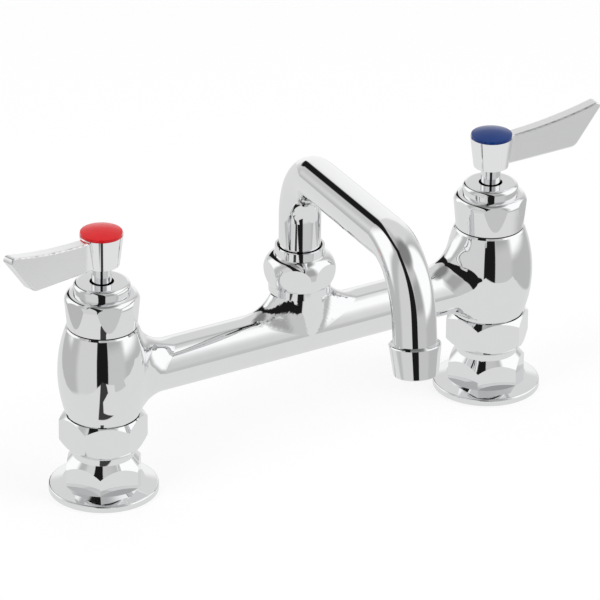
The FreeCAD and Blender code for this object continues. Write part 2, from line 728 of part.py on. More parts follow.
def stem(side, across, turn):
    """Stem with its drive plate, ring groove, clip groove, square and tapped hole."""
    plate = size.stem_plate_dia / 2
    ring = stem_radius - size.stem_ring_section
    ring_level = bore_roof + size.stem_ring_level
    half_groove = size.stem_ring_groove / 2
    clip = stem_radius - size.clip_groove_depth
    clip_low = cartridge_top + size.end_clearance
    clip_top = clip_low + size.clip_thickness + size.end_clearance
    tapped = size.screw_dia / 2 + size.running_clearance
    body = turned_body(f"{side}_stem", [
        (0, stem_low),
        (plate, stem_low),
        (plate, bore_roof - size.end_clearance),
        (stem_radius, bore_roof - size.end_clearance),
        (stem_radius, ring_level - half_groove),
        (ring, ring_level - half_groove),
        (ring, ring_level + half_groove),
        (stem_radius, ring_level + half_groove),
        (stem_radius, clip_low),
        (clip, clip_low),
        (clip, clip_top),
        (stem_radius, clip_top),
        (stem_radius, drive_top),
        (tapped, drive_top),
        (tapped, screw_low - size.screw_hole_extra),
        (0, screw_low - size.screw_hole_extra),
    ], across, turn)
    cut_flats(body, f"{side}_stem_square", 4, size.drive_square, size.stem_dia, drive_low,
              size.drive_height)
    round_ring(f"{side}_stem_ring", stem_radius, size.stem_ring_section, ring_level, across, turn)
    clip_body = flat_ring(f"{side}_stem_clip", clip + size.running_clearance, size.clip_dia / 2, clip_low,
                          size.clip_thickness)
    mouth = new_sketch(clip_body, f"{side}_clip_mouth", "XY_Plane", clip_low)
    half_mouth = size.clip_opening / 2
    draw(mouth, [
        (0, -half_mouth),
        (size.clip_dia, -half_mouth),
        (size.clip_dia, half_mouth),
        (0, half_mouth),
    ])
    cut(clip_body, f"{side}_clip_opening", mouth, size.clip_thickness)
    place(clip_body, across, turn)


def lever_handle(side, across, turn):
    """Tapered hub with a blade that sweeps up to its tip."""
    label = f"{side}_lever_handle"
    body = new_body(label)
    rim = size.hub_dia / 2
    foot = size.hub_low_dia / 2
    turned(body, f"{label}_hub", [(0, hub_low), (foot, hub_low), (rim, hub_top), (0, hub_top)])
    tip_top = hub_top + size.lever_rise
    nose = size.lever_nose_radius
    corner_low = hub_low + size.lever_foot_lift
    corner = size.lever_reach - (tip_top - nose - corner_low) / size.lever_end_angle.tangent()
    corner_round = size.lever_foot_round
    corner_radius = corner_round / (size.lever_end_angle / 2).tangent()
    root = foot / 2
    blade_sketch = new_sketch(body, f"{label}_blade_outline")
    draw(blade_sketch, [
        (root, hub_low),
        (corner - corner_round, corner_low, corner_radius, 1),
        (corner + corner_round * size.lever_end_angle.cosine(),
         corner_low + corner_round * size.lever_end_angle.sine()),
        (size.lever_reach, tip_top - nose, nose, 1),
        (size.lever_reach - nose, tip_top, size.lever_top_radius, -1),
        (root, hub_top - size.lever_top_drop),
    ])
    blade = body.newObject("PartDesign::Pad", f"{label}_blade")
    blade.Profile = blade_sketch
    blade.Midplane = True
    blade.setExpression("Length", size.lever_thickness.text)
    half = size.lever_thickness.value / 2

    def on_blade_edge(shape, edge):
        box = edge.BoundBox
        return box.YLength < 0.01 and abs(abs(box.YMin) - half) < 0.01 and box.Center.x > rim.value * 1.1

    blend_edges(body, f"{label}_edges", size.lever_edge_radius, on_blade_edge)
    recess = stem_radius + size.end_clearance
    well = size.hub_well_dia / 2
    bore = size.screw_dia / 2 + 2 * size.end_clearance
    seat_level = hub_top - size.button_spigot - size.end_clearance
    turned(body, f"{label}_bore", [
        (0, hub_low),
        (recess, hub_low),
        (recess, drive_low),
        (bore, drive_low),
        (bore, web_top),
        (well, web_top),
        (well, seat_level),
        (button_bore, seat_level),
        (button_bore, hub_top),
        (0, hub_top),
    ], "PartDesign::Groove")
    square = new_sketch(body, f"{label}_square", "XY_Plane", drive_low)
    half_square = size.drive_square / 2 + size.running_clearance
    draw(square, [
        (half_square, half_square),
        (-half_square, half_square),
        (-half_square, -half_square),
        (half_square, -half_square),
    ])
    cut(body, f"{label}_socket", square, web_low - drive_low)
    place(body, across, turn)


def handle_screw(side, across, turn):
    """Screw that clamps the lever on the stem."""
    label = f"{side}_handle_screw"
    shank = size.screw_dia / 2
    head = size.screw_head_dia / 2
    head_top = web_top + size.screw_head_height
    body = turned_body(label, [
        (0, screw_low),
        (shank, screw_low),
        (shank, web_top),
        (head, web_top),
        (head, head_top),
        (0, head_top),
    ], across, turn)
    slot = new_sketch(body, f"{label}_slot", "XY_Plane", head_top - size.screw_slot_depth)
    half = size.screw_slot / 2
    draw(slot, [(-head, -half), (head, -half), (head, half), (-head, half)])
    cut(body, f"{label}_slot_cut", slot, size.screw_slot_depth)


def index_button(side, across):
    """Domed button pressed into the lever hub."""
    spigot = size.button_spigot_dia / 2
    edge = size.button_dia / 2
    edge_top = hub_top + size.button_edge
    dome_radius = (edge * edge + size.button_dome * size.button_dome) / (2 * size.button_dome)
    turned_body(f"{side}_index_button", [
        (0, hub_top - size.button_spigot),
        (spigot, hub_top - size.button_spigot),
        (spigot, hub_top),
        (edge, hub_top),
        (edge, edge_top, dome_radius, 1),
        (0, edge_top + size.button_dome),
    ], across)


def valve(side, sign):
    """Everything on one valve axis, from the deck up."""
    across = valve_offset * sign
    lever_turn = getattr(size, f"{side}_lever_turn")
    inlet_flange(side, across, getattr(size, f"{side}_inlet_turn"))
    coupling_nut(side, across, getattr(size, f"{side}_nut_turn"))
    washer_radius = nut_bore - size.union_collar_clearance
    flat_ring(f"{side}_union_washer", size.inlet_water_dia / 2, washer_radius, union_top,
              size.union_washer, across)
    bonnet(side, across, getattr(size, f"{side}_bonnet_turn"))
    flat_ring(f"{side}_bonnet_gasket", bonnet_bore, size.gasket_dia / 2, barrel_top,
              size.gasket_thickness, across)
    cartridge_body(side, across)
    ring_level = cartridge_step + size.cartridge_flange / 2
    ring_radius = bonnet_bore - size.running_clearance
    round_ring(f"{side}_cartridge_ring", ring_radius, size.cartridge_ring_section, ring_level, across)
    flat_ring(f"{side}_seat_seal", size.inlet_water_dia / 2, cartridge_radius, seat, size.seat_seal, across)
    disc_radius = size.cartridge_bore / 2 - size.disc_clearance
    ceramic_disc(f"{side}_fixed_disc", disc_radius, cartridge_low, across)
    ceramic_disc(f"{side}_moving_disc", disc_radius, moving_disc_low, across, lever_turn)
    stem(side, across, lever_turn)
    lever_handle(side, across, lever_turn)
    handle_screw(side, across, lever_turn)
    index_button(side, across)


def spout_nut():
    """Bulged nut with six flats that holds the spout down."""
    bore = neck_radius + size.thread_clearance
    mouth = tube_radius + size.nut_mouth_clearance
    foot = size.nut_foot_dia / 2
    foot_top_level = spout_nut_low + size.nut_foot_height
    widest_level = spout_nut_low + size.spout_nut_widest
    shoulder_level = spout_nut_low + size.spout_nut_shoulder
    head = size.nut_head_dia / 2
    nut_head_top = spout_nut_low + size.spout_nut_height
    body = turned_body("spout_nut", [
        (bore, spout_nut_low),
        (foot, spout_nut_low),
        (foot, foot_top_level, size.spout_nut_low_radius, 1),
        (size.spout_nut_dia / 2, widest_level, size.spout_nut_top_radius, 1),
        (size.nut_shoulder_dia / 2, shoulder_level),
        (head, shoulder_level),
        (head, nut_head_top),
        (mouth, nut_head_top),
        (mouth, lip_low),
        (bore, lip_low),
    ], turn=size.spout_nut_turn)
    cut_flats(body, "spout_nut_flats", 6, size.spout_nut_hex, size.spout_nut_dia, foot_top_level,
              shoulder_level - foot_top_level)


# The spout lies in its own upright plane and is turned about the swivel axis as a whole.
spout_angle = 270 - size.spout_turn
lean_sine = size.spout_slope.sine()
lean_cosine = size.spout_slope.cosine()


def along_outlet(radius, distance):
    """Point of the spout's plane at a radius from the outlet's axis and a distance above its face."""
    across = size.spout_reach + radius * lean_cosine - distance * lean_sine
    up = size.outlet_height + radius * lean_sine + distance * lean_cosine
    return across, up


def spout_path():
    """Centre line of the tube: riser, first bend, rising run, second bend and outlet leg."""
    first_tangent = size.spout_bend * ((90 - size.spout_slope) / 2).tangent()
    drop = size.spout_corner + size.spout_reach * size.spout_slope.tangent() - size.outlet_height
    leg = drop * lean_cosine
    corner = along_outlet(0, leg)
    return [
        (0, tube_tail),
        (0, size.spout_corner - first_tangent, size.spout_bend, -1),
        (first_tangent * lean_cosine, size.spout_corner + first_tangent * lean_sine),
        (corner[0] - size.spout_bend * lean_cosine, corner[1] - size.spout_bend * lean_sine,
         size.spout_bend, -1),
        along_outlet(0, leg - size.spout_bend),
        along_outlet(0, size.tip_socket),
    ]


def spout_tube():
    """Tube of even wall swept along the spout's centre line."""
    body = new_body("spout_tube")
    path = new_sketch(body, "spout_centre_line")
    draw(path, spout_path(), closed=False)
    section = new_sketch(body, "spout_section", "XY_Plane", tube_tail)
    draw_circle(section, tube_radius)
    draw_circle(section, tube_radius - size.tube_wall)
    doc.recompute()
    pipe = body.newObject("PartDesign::AdditivePipe", "spout_sweep")
    pipe.Profile = section
    pipe.Spine = (path, [f"Edge{index}" for index in range(1, len(path.Geometry) + 1)])
    place(body, turn=spout_angle)
    doc.recompute()
    length = sum(edge.Length for edge in path.Shape.Edges)
    inner = tube_radius.value - size.tube_wall.value
    expected = math.pi * (tube_radius.value ** 2 - inner ** 2) * length
    if abs(body.Shape.Volume / expected - 1) > 0.01:
        raise RuntimeError("the spout tube's volume doesn't match its section and length")


def on_outlet(label, outline):
    """Revolve (radius, distance) points about the outlet's leaning axis."""
    body = new_body(label)
    sketch = new_sketch(body, f"{label}_outline")
    draw(sketch, [along_outlet(*point) for point in outline])
    axis_ends = [along_outlet(0, 0), along_outlet(0, size.tip_height)]
    spots = [FreeCAD.Vector(end[0].value, end[1].value, 0) for end in axis_ends]
    axis = sketch.addGeometry(Part.LineSegment(*spots), True)
    for position, end in enumerate(axis_ends, start=1):
        tie(sketch, "DistanceX", (axis, position), end[0])
        tie(sketch, "DistanceY", (axis, position), end[1])
    revolve(body, f"{label}_turning", sketch, axis="Axis0")
    place(body, turn=spout_angle)
    return body


def outlet():
    """Tapered tip with a funnel round the tube, a washer and a stream straightener."""
    low = size.tip_low_dia / 2
    rim = size.tip_dia / 2
    bore = size.tip_bore / 2
    on_outlet("outlet_tip", [
        (bore, 0),
        (low - size.tip_low_bevel, 0),
        (low, size.tip_low_bevel),
        (rim, size.tip_height - size.tip_rim),
        (rim - size.tip_rim, size.tip_height),
        (tube_seat, size.tip_height - size.tip_funnel),
        (tube_seat, size.tip_socket),
        (bore, size.tip_socket),
    ])
    insert = bore - size.running_clearance
    insert_top = size.straightener_inset + size.straightener_height
    on_outlet("outlet_washer", [
        (size.washer_hole_dia / 2, insert_top),
        (insert, insert_top),
        (insert, size.tip_socket),
        (size.washer_hole_dia / 2, size.tip_socket),
    ])
    body = on_outlet("stream_straightener", [
        (0, size.straightener_inset),
        (insert, size.straightener_inset),
        (insert, insert_top),
        (0, insert_top),
    ])
    holes = new_sketch(body, "straightener_holes", "XY_Plane")
    holes.AttachmentOffset = FreeCAD.Placement(
        FreeCAD.Vector(), FreeCAD.Rotation(FreeCAD.Vector(0, 1, 0), 1))
    start = along_outlet(0, 0)
    holes.setExpression("AttachmentOffset.Base.x", start[0].text)
    holes.setExpression("AttachmentOffset.Base.z", start[1].text)
    holes.setExpression("AttachmentOffset.Rotation.Angle", (-size.spout_slope).text)
    draw_circle(holes, size.straightener_hole / 2)
    ring = size.straightener_circle / 2
    for index in range(6):
        angle = math.radians(60 * index)
        draw_circle(holes, size.straightener_hole / 2, ring * math.cos(angle), ring * math.sin(angle))
    cut(body, "straightener_drilling", holes, insert_top)


def spout_swivel():
    """Journal brazed to the tube, its two rings and the washer that it turns on."""
    journal = size.swivel_dia / 2
    bore = size.swivel_bore / 2
    collar = size.swivel_collar_dia / 2
    ring_groove = journal - size.swivel_ring_section
    half = size.swivel_ring_groove / 2
    lower_ring = journal_low + size.swivel_ring_low
    levels = [lower_ring, lower_ring + size.swivel_ring_spacing]
    outline = [(bore, journal_low), (journal, journal_low)]
    for level in levels:
        outline += [
            (journal, level - half),
            (ring_groove, level - half),
            (ring_groove, level + half),
            (journal, level + half),
        ]
    outline += [
        (journal, collar_low),
        (collar, collar_low),
        (collar, collar_top),
        (tube_seat, collar_top),
        (tube_seat, tube_tail),
        (bore, tube_tail),
    ]
    turned_body("spout_swivel", outline, turn=spout_angle)
    rings = new_body("swivel_rings")
    rings.AllowCompound = True
    for number, level in enumerate(levels, start=1):
        round_section(rings, f"swivel_ring_{number}", journal, size.swivel_ring_section, level)
    place(rings, turn=spout_angle)
    washer_hole = journal + size.nut_lip_clearance
    flat_ring("swivel_washer", washer_hole, neck_radius, neck_top, size.swivel_washer)


def main():
    """Build every sub-part, check it and write its file."""
    bridge_body()
    for side, sign in SIDES.items():
        valve(side, sign)
    spout_nut()
    spout_tube()
    spout_swivel()
    outlet()
    doc.recompute()
    for item in doc.Objects:
        if "Invalid" in item.State or "Error" in item.State:
            raise RuntimeError(f"{item.Label} did not compute")
    os.makedirs("parts", exist_ok=True)
    for body in doc.findObjects("PartDesign::Body"):
        if body.Shape.isNull() or not body.Shape.isValid():
            raise RuntimeError(f"{body.Label} has no valid shape")
        body.Shape.exportStep(f"parts/{body.Label}.step")


main()
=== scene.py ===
"""Studio scene of a deck mounted bridge faucet with a swing spout and two lever valves."""

import json
import math

import bmesh
import bpy
from bpy.props import FloatProperty, FloatVectorProperty, IntProperty, PointerProperty
from mathutils import Matrix, Vector

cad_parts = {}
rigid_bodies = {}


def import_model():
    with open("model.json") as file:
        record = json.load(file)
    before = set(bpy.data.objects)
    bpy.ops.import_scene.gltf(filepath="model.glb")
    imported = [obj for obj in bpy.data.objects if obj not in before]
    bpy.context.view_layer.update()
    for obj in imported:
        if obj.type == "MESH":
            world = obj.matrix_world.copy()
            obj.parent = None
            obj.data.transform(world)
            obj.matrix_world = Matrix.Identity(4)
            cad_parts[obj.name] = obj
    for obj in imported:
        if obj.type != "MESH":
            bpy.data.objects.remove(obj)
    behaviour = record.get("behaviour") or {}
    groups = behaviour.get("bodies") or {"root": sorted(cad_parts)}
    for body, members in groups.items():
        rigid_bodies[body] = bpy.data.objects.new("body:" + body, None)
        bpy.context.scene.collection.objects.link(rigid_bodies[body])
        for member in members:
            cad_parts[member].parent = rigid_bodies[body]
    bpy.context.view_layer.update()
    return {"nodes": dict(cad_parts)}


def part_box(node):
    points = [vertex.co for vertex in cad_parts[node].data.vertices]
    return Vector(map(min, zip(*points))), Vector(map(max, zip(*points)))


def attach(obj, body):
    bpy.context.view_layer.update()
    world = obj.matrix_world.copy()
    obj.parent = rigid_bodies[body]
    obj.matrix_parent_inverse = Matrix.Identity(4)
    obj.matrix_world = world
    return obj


for leftover in list(bpy.data.objects):
    bpy.data.objects.remove(leftover)
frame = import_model()

bl_info = {
    "name": "Bridge faucet studio",
    "version": (1, 0, 0),
    "blender": (4, 5, 0),
    "location": "View3D > Sidebar > Faucet",
    "description": "Finishes, small fittings and studio for a bridge faucet with a swing spout",
    "category": "Object",
}

CAST_NODES = ["bridge_body"]
DRAWN_NODES = ["spout_tube"]
TURNED_NODES = [
    "hot_inlet_flange", "cold_inlet_flange", "hot_coupling_nut", "cold_coupling_nut",
    "hot_bonnet", "cold_bonnet", "hot_stem", "cold_stem", "spout_nut", "outlet_tip",
]
LEVER_NODES = ["hot_lever_handle", "cold_lever_handle"]
BUTTON_NODES = {"hot_index_button": "hot_red", "cold_index_button": "cold_blue"}


class Field:
    """A node's output that takes part in Python arithmetic; each operation adds a Math node."""

    def __init__(self, board, socket):
        self.board = board
        self.socket = socket

    def math(self, operation, *others):
        return self.board.math(operation, self, *others)

    def __add__(self, other):
        return self.board.math("ADD", self, other)

    __radd__ = __add__

    def __sub__(self, other):
        return self.board.math("SUBTRACT", self, other)

    def __rsub__(self, other):
        return self.board.math("SUBTRACT", other, self)

    def __mul__(self, other):
        return self.board.math("MULTIPLY", self, other)

    __rmul__ = __mul__

    def __truediv__(self, other):
        return self.board.math("DIVIDE", self, other)

    def __pow__(self, other):
        return self.board.math("POWER", self, other)


class Board:
    """A node tree of a material, a world or a shape, with one way to add any node."""

    def __init__(self, tree):
        self.tree = tree
        tree.nodes.clear()

    def node(self, kind, settings=None, sockets=None, out=0):
        """Add a node, set it up, feed its sockets and return one of its outputs."""
        made = self.tree.nodes.new(kind)
        for key, value in (settings or {}).items():
            setattr(made, key, value)
        for key, value in (sockets or {}).items():
            self.feed(self.pick(made.inputs, key), value)
        return Field(self, self.pick(made.outputs, out)) if made.outputs else None

    def pick(self, sockets, key):
        """A socket by its number, its identifier or the name that it shows."""
        if isinstance(key, int):
            return sockets[key]
        for socket in sockets:
            if socket.identifier == key or (socket.name == key and socket.enabled):
                return socket
        raise KeyError(key)

    def feed(self, socket, value):
        """Link a field, or each field of a list, or set a plain value."""
        if isinstance(value, (Field, list)):
            for field in value if isinstance(value, list) else [value]:
                self.tree.links.new(field.socket, socket)
        else:
            socket.default_value = value

    def math(self, operation, *values):
        """A Math node on fields and plain numbers."""
        sockets = dict(enumerate(values))
        return self.node("ShaderNodeMath", {"operation": operation}, sockets)

    def rise(self, value, low, high):
        """A smooth step from nought at low to one at high."""
        return self.node("ShaderNodeMapRange", {"interpolation_type": "SMOOTHSTEP"},
                         {"Value": value, "From Min": low, "From Max": high}, "Result")

    def band(self, value, low, high, soft):
        """One between low and high, with soft edges, and nought elsewhere."""
        return self.rise(value, low - soft, low + soft) * (1 - self.rise(value, high - soft, high + soft))

    def blend(self, mask, first, second):
        """A colour between two, by a mask."""
        return self.node("ShaderNodeMix", {"data_type": "RGBA"},
                         {"Factor_Float": mask, "A_Color": first, "B_Color": second}, "Result_Color")

    def along(self, place, axis):
        """How far a place or a ray reaches along an axis."""
        return self.node("ShaderNodeVectorMath", {"operation": "DOT_PRODUCT"}, {0: place, 1: axis}, "Value")

    def noise(self, place, size, detail=2.0):
        """Cloudy noise whose lumps are about one size across."""
        return self.node("ShaderNodeTexNoise", None,
                         {"Vector": place, "Scale": 1 / size, "Detail": detail}, "Fac")

    def stretched(self, turn, scale):
        """Object coordinates turned about the upright axis and scaled."""
        place = self.node("ShaderNodeTexCoord", out="Object")
        return self.node("ShaderNodeMapping", {"vector_type": "TEXTURE"},
                         {"Vector": place, "Rotation": (0, 0, turn), "Scale": scale})

    def bump(self, height, depth, over=None):
        """A surface normal from a height that is depth tall where it is one."""
        sockets = {"Height": height, "Distance": depth, "Strength": 1.0}
        if over is not None:
            sockets["Normal"] = over
        return self.node("ShaderNodeBump", None, sockets, "Normal")

    def surface(self, sockets):
        """Close the tree with a Principled shader."""
        shader = self.node("ShaderNodeBsdfPrincipled", None, sockets, "BSDF")
        self.node("ShaderNodeOutputMaterial", {"target": "ALL"}, {"Surface": shader})


def new_finish(name):
    """An empty material and the board of its nodes."""
    material = bpy.data.materials.new(name)
    material.use_nodes = True
    return material, Board(material.node_tree)


def shade(colour, factor):
    """A colour made lighter or darker, with full alpha."""
    return (colour[0] * factor, colour[1] * factor, colour[2] * factor, 1.0)


def dress(nodes, material):
    """Give CAD nodes a finish."""
    for name in nodes:
        for slot in frame["nodes"][name].material_slots:
            slot.material = material


def chrome_finish(name, look, ripple, ripple_size, streaks):
    """Polished plating: a mirror whose sheen and flatness drift a little, as buffed metal does."""
    material, board = new_finish(name)
    place = board.node("ShaderNodeTexCoord", out="Object")
    swell = board.noise(place, ripple_size)
    haze = board.noise(place, look.haze_size, 4.0)
    buff = board.noise(board.stretched(0.0, streaks), look.buff_size, 3.0)
    tint = look.chrome_colour
    board.surface({
        "Base Color": board.blend(haze, shade(tint, 0.975), shade(tint, 1.0)),
        "Metallic": 1.0,
        "Roughness": look.chrome_roughness + look.haze_depth * haze * buff,
        "Normal": board.bump(buff, look.buff_depth, board.bump(swell, ripple)),
    })
    return material


def lever_finish(name, look, axis, turn):
    """Plated lever: a mirror hub, and a blade with a fine satin grain along its length."""
    material, board = new_finish(name)
    place = board.node("ShaderNodeTexCoord", out="Object")
    apart = board.node("ShaderNodeVectorMath", {"operation": "DISTANCE"},
                       {0: board.node("ShaderNodeVectorMath", {"operation": "MULTIPLY"},
                                      {0: place, 1: (1, 1, 0)}), 1: axis}, "Value")
    blade = board.rise(apart, look.hub_radius, look.hub_radius + look.hub_fade)
    along = board.stretched(turn, (look.grain_length, look.grain_width, look.grain_width))
    grain = board.noise(along, 1.0, 3.0)
    cloud = board.noise(place, look.haze_size, 3.0)
    satin = look.satin_roughness + look.grain_scatter * grain + look.cloud_scatter * cloud
    tint = look.satin_colour
    board.surface({
        "Base Color": board.blend(grain * blade, shade(tint, 1.0), shade(tint, 0.94)),
        "Metallic": 1.0,
        "Roughness": look.chrome_roughness + blade * satin,
        "Normal": board.bump(grain * blade, look.grain_depth),
    })
    return material


def button_finish(name, colour):
    """Glossy moulded cap: colour that deepens in patches, under a clear coat."""
    material, board = new_finish(name)
    place = board.node("ShaderNodeTexCoord", out="Object")
    cloud = board.noise(place, 0.004, 3.0)
    speck = board.noise(place, 0.0004, 2.0)
    board.surface({
        "Base Color": board.blend(cloud, shade(colour, 0.86), shade(colour, 1.0)),
        "Roughness": 0.08 + 0.05 * speck,
        "Specular IOR Level": 0.2,
        "Coat Weight": 0.04 + 0.08 * cloud,
        "Coat Roughness": 0.03,
        "Normal": board.bump(speck, 0.000002),
    })
    return material


def machined_finish(name, colour, metallic, roughness, ring_size):
    """Turned or moulded inner piece: fine level rings with a light haze."""
    material, board = new_finish(name)
    place = board.node("ShaderNodeTexCoord", out="Object")
    rings = board.noise(board.stretched(0.0, (0.05, 0.05, ring_size)), 1.0, 2.0)
    cloud = board.noise(place, 0.003, 3.0)
    board.surface({
        "Base Color": board.blend(cloud, shade(colour, 0.85), shade(colour, 1.0)),
        "Metallic": metallic,
        "Roughness": roughness + 0.12 * rings * cloud,
        "Normal": board.bump(rings, 0.000006),
    })
    return material


def shape_board(name, inputs):
    """An empty geometry tree with named inputs, and a way to read them."""
    tree = bpy.data.node_groups.new(name, "GeometryNodeTree")
    tree.interface.new_socket("Geometry", in_out="OUTPUT", socket_type="NodeSocketGeometry")
    for key, kind in inputs.items():
        tree.interface.new_socket(key, in_out="INPUT", socket_type=f"NodeSocket{kind}")
    board = Board(tree)
    return board, lambda key: board.node("NodeGroupInput", out=key)


def close_shape(board, shape, material):
    """Realize a shape, give it its finish and end the tree."""
    real = board.node("GeometryNodeRealizeInstances", None, {"Geometry": shape})
    smooth = board.node("GeometryNodeSetShadeSmooth", None, {"Geometry": real})
    done = board.node("GeometryNodeSetMaterial", None, {"Geometry": smooth, "Material": material})
    board.node("NodeGroupOutput", None, {"Geometry": done})


def grow(board, values, body):
    """Run a geometry tree with its values, keep the result as one mesh and hand it to a body."""
    name = board.tree.name
    piece = bpy.data.objects.new(name, bpy.data.meshes.new(f"{name}_seed"))
    bpy.context.scene.collection.objects.link(piece)
    steps = piece.modifiers.new(name, "NODES")
    steps.node_group = board.tree
    for socket in board.tree.interface.items_tree:
        if socket.in_out == "INPUT":
            steps[socket.identifier] = values[socket.name]
    grown = piece.evaluated_get(bpy.context.evaluated_depsgraph_get())
    mesh = bpy.data.meshes.new_from_object(grown)
    if not mesh.polygons:
        raise RuntimeError(f"{name} came out empty")
    piece.modifiers.remove(steps)
    piece.data = mesh
    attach(piece, body)


class FaucetFinishes(bpy.types.PropertyGroup):
    """Colours and polish of the faucet's pieces."""

    chrome_colour: FloatVectorProperty(
        name="Chrome", description="Colour of the polished plating", subtype="COLOR",
        default=(0.86, 0.865, 0.87))
    chrome_roughness: FloatProperty(
        name="Chrome roughness", description="Least roughness of the plating", default=0.025,
        subtype="FACTOR", min=0.0, max=1.0)
    haze_size: FloatProperty(
        name="Haze size", description="Size of the hazy patches", default=0.006, unit="LENGTH")
    haze_depth: FloatProperty(
        name="Haze", description="Roughness that the haze adds", default=0.05, subtype="FACTOR")
    buff_size: FloatProperty(
        name="Buffing size", description="Spacing of the buffing marks", default=0.0009, unit="LENGTH")
    buff_depth: FloatProperty(
        name="Buffing depth", description="Depth of the buffing marks", default=0.0000004, unit="LENGTH")
    cast_ripple: FloatProperty(
        name="Casting ripple", description="Waviness of the polished casting", default=0.00006,
        unit="LENGTH")
    turned_ripple: FloatProperty(
        name="Turned ripple", description="Waviness of the turned pieces", default=0.00001,
        unit="LENGTH")
    cast_wave: FloatProperty(
        name="Casting wave", description="Size of the casting's waves", default=0.022, unit="LENGTH")
    drawn_wave: FloatProperty(
        name="Tube wave", description="Size of the spout tube's waves", default=0.03, unit="LENGTH")
    turned_wave: FloatProperty(
        name="Turned wave", description="Size of the turned pieces' waves", default=0.012, unit="LENGTH")
    satin_colour: FloatVectorProperty(
        name="Lever", description="Colour of the lever blades", subtype="COLOR",
        default=(0.92, 0.925, 0.93))
    satin_roughness: FloatProperty(
        name="Lever roughness", description="Roughness that the satin blade adds", default=0.22,
        subtype="FACTOR", min=0.0, max=1.0)
    grain_scatter: FloatProperty(
        name="Grain scatter", description="Roughness that the satin marks add", default=0.06,
        subtype="FACTOR", min=0.0, max=1.0)
    cloud_scatter: FloatProperty(
        name="Cloud scatter", description="Roughness that the blade's hazy patches add", default=0.03,
        subtype="FACTOR", min=0.0, max=1.0)
    hub_radius: FloatProperty(
        name="Hub radius", description="Reach of the mirror polish round the hub", default=0.0102,
        unit="LENGTH")
    hub_fade: FloatProperty(
        name="Hub fade", description="Distance over which the polish turns satin", default=0.003,
        unit="LENGTH")
    grain_length: FloatProperty(
        name="Grain length", description="Length of the satin marks", default=0.02, unit="LENGTH")
    grain_width: FloatProperty(
        name="Grain width", description="Width of the satin marks", default=0.0003, unit="LENGTH")
    grain_depth: FloatProperty(
        name="Grain depth", description="Depth of the satin marks", default=0.0000015, unit="LENGTH")
    hot_red: FloatVectorProperty(
        name="Hot", description="Colour of the hot index button", subtype="COLOR",
        default=(0.86, 0.018, 0.024))
    cold_blue: FloatVectorProperty(
        name="Cold", description="Colour of the cold index button", subtype="COLOR",
        default=(0.009, 0.048, 0.235))


class FaucetFittings(bpy.types.PropertyGroup):
    """Sizes of the threads in the inlets and of the screen in the outlet."""

    thread_pitch: FloatProperty(
        name="Thread pitch", description="Rise of one turn", default=0.001814, unit="LENGTH")
    thread_turns: FloatProperty(
        name="Thread turns", description="Turns of thread in each inlet", default=7.0)
    thread_radius: FloatProperty(
        name="Thread radius", description="Radius of the inlet's bore", default=0.00915, unit="LENGTH")
    thread_ridge: FloatProperty(
        name="Thread ridge", description="Height of the ridge", default=0.0005, unit="LENGTH")
    thread_start: FloatProperty(
        name="Thread start", description="Lowest turn above the deck", default=0.0012, unit="LENGTH")
    screen_wires: IntProperty(
        name="Screen wires", description="Wires across the outlet each way", default=17)
    screen_radius: FloatProperty(
        name="Screen radius", description="Radius of the screen", default=0.0081, unit="LENGTH")
    screen_wire: FloatProperty(
        name="Screen wire", description="Thickness of a wire", default=0.0003, unit="LENGTH")
    screen_drop: FloatProperty(
        name="Screen drop", description="Screen below the middle of the stream straightener",
        default=0.0026, unit="LENGTH")
    spout_turn: FloatProperty(
        name="Spout turn", description="Spout's swing to the hot side", default=math.radians(12.3),
        unit="ROTATION")
    spout_slope: FloatProperty(
        name="Spout slope", description="Lean of the outlet, as steep as the run of the spout",
        default=math.radians(8.4), unit="ROTATION")


class FaucetStudio(bpy.types.PropertyGroup):
    """Camera, lamps and the surroundings that the plating mirrors."""

    bearing: FloatProperty(
        name="Bearing", description="Camera's turn from the front towards the hot side",
        default=math.radians(31.348), unit="ROTATION")
    height: FloatProperty(
        name="Height", description="Camera's angle above the deck", default=math.radians(26.341),
        unit="ROTATION")
    roll: FloatProperty(
        name="Roll", description="Camera's lean", default=math.radians(0.447), unit="ROTATION")
    distance: FloatProperty(
        name="Distance", description="Camera's distance", default=2.48085, unit="LENGTH")
    target: FloatVectorProperty(
        name="Target", description="Point at the centre of the picture", subtype="TRANSLATION",
        default=(0.000337, 0.0, 0.067653))
    lens: FloatProperty(
        name="Lens", description="Focal length in millimetres", default=330.531)
    wall: FloatProperty(
        name="Walls", description="Level of the plain surroundings", default=0.54)
    left_wall: FloatProperty(
        name="Left wall", description="Level beside the camera, on its left", default=0.72)
    right_wall: FloatProperty(
        name="Right wall", description="Level beside the camera, on its right", default=0.62)
    right_drape: FloatProperty(
        name="Right drape", description="Level of the grey drape high on the right wall", default=0.42)
    back_wall: FloatProperty(
        name="Back wall", description="Level high behind the faucet", default=0.76)
    back_panel: FloatProperty(
        name="Back panel", description="Level of the low panel behind the faucet", default=1.0)
    ceiling: FloatProperty(
        name="Ceiling", description="Level overhead", default=0.25)
    panel: FloatProperty(
        name="Panels", description="Level of the bright side panels", default=1.14)
    gap: FloatProperty(
        name="Dark frame", description="Level of the dark frame round the left panel", default=0.012)
    table: FloatProperty(
        name="Table", description="Level of the pale table", default=0.79)
    edge: FloatProperty(
        name="Table edge", description="Front edge of the table that the plating mirrors", default=0.168,
        unit="LENGTH")
    notch: FloatProperty(
        name="Table notch", description="Notch in that edge, by the hot valve", default=0.043,
        unit="LENGTH")
    reach: FloatProperty(
        name="Table reach", description="Half the length of the table", default=0.2, unit="LENGTH")
    # Painted dark reflection: level of a dark patch on the floor that only the plating mirrors.
    mat: FloatProperty(
        name="Mat", description="Level of the dark mat by the hot valve", default=0.05)
    lamp: FloatProperty(
        name="Lamps", description="Power of a side lamp", default=5.0, unit="POWER")


